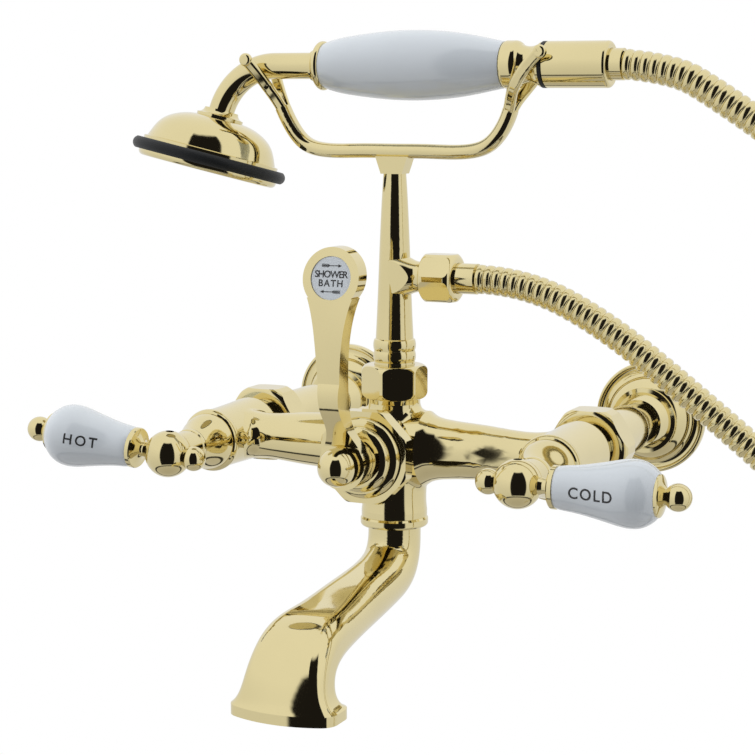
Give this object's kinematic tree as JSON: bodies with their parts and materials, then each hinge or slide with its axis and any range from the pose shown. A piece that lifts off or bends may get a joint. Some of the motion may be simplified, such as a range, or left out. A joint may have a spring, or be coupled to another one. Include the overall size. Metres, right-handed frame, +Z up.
{
  "type": "wall mounted bath faucet with hand shower",
  "caption": "Wall mounted bath faucet with two porcelain lever handles, an upright diverter lever, a flared spout and a hand shower resting on a forked cradle, fed by a hanging ribbed hose.",
  "frame": {"origin": "on the wall's face, midway between the two supply pipes", "axes": "+Z up, +Y into the wall, so the faucet stands out along -Y; +X to the right as one faces the faucet, with the hot supply at -X"},
  "size_m": [0.5155, 0.2821, 0.6513],
  "materials": {
    "polished_brass": "polished",
    "hose_metal": "polished, ribbed",
    "porcelain": "glossy glaze",
    "rubber": "matte"
  },
  "bodies": {
    "faucet_body": {"main_body": "polished_brass", "hot_supply_arm": "polished_brass", "hot_escutcheon": "polished_brass", "hot_union_nut": "polished_brass", "hot_union_washer": "rubber", "hot_cartridge": "polished_brass", "hot_bonnet": "polished_brass", "cold_supply_arm": "polished_brass", "cold_escutcheon": "polished_brass", "cold_union_nut": "polished_brass", "cold_union_washer": "rubber", "cold_cartridge": "polished_brass", "cold_bonnet": "polished_brass", "diverter_bonnet": "polished_brass", "spout_collar": "polished_brass", "spout_seal": "rubber", "spout": "polished_brass", "riser_union_nut": "polished_brass", "riser_washer": "rubber", "riser": "polished_brass", "cradle": "polished_brass", "outlet_hose_nut": "polished_brass", "outlet_hose_washer": "rubber", "outlet_ferrule": "polished_brass", "shower_hose_lower": "hose_metal"},
    "hot_handle": {"hot_stem": "polished_brass", "hot_hub": "polished_brass", "hot_set_screw": "polished_brass", "hot_lever_rod": "polished_brass", "hot_porcelain_lever": "porcelain", "hot_finial": "polished_brass"},
    "cold_handle": {"cold_stem": "polished_brass", "cold_hub": "polished_brass", "cold_set_screw": "polished_brass", "cold_lever_rod": "polished_brass", "cold_porcelain_lever": "porcelain", "cold_finial": "polished_brass"},
    "diverter": {"diverter_drum": "polished_brass", "diverter_stem": "polished_brass", "diverter_lever": "polished_brass", "diverter_button": "porcelain", "diverter_cap": "polished_brass"},
    "handset": {"handset_neck": "polished_brass", "handset_front_collar": "polished_brass", "handset_grip": "porcelain", "handset_tube": "polished_brass", "handset_rear_collar": "polished_brass", "connector_washer": "rubber", "handset_connector": "polished_brass", "handset_ferrule": "polished_brass", "shower_dome": "polished_brass", "shower_ring": "rubber", "spray_plate": "polished_brass", "shower_hose_upper": "hose_metal"}
  },
  "joints": [
    {"name": "hot_valve", "type": "hinge", "parent": "faucet_body", "child": "hot_handle", "pos_m": [-0.0889, -0.2034, 0], "axis": [0, 1, 0], "range_deg": [-5.5, 84.5]},
    {"name": "cold_valve", "type": "hinge", "parent": "faucet_body", "child": "cold_handle", "pos_m": [0.0889, -0.2034, 0], "axis": [0, -1, 0], "range_deg": [0, 90]},
    {"name": "diverter_turn", "type": "hinge", "parent": "faucet_body", "child": "diverter", "pos_m": [0, -0.19, 0], "axis": [0, 1, 0], "range_deg": [-40, 40]},
    {"name": "handset_lift", "type": "slide", "parent": "faucet_body", "child": "handset", "axis": [-0.3584, 0, 0.9336], "range_m": [0, 0.05]}
  ]
}
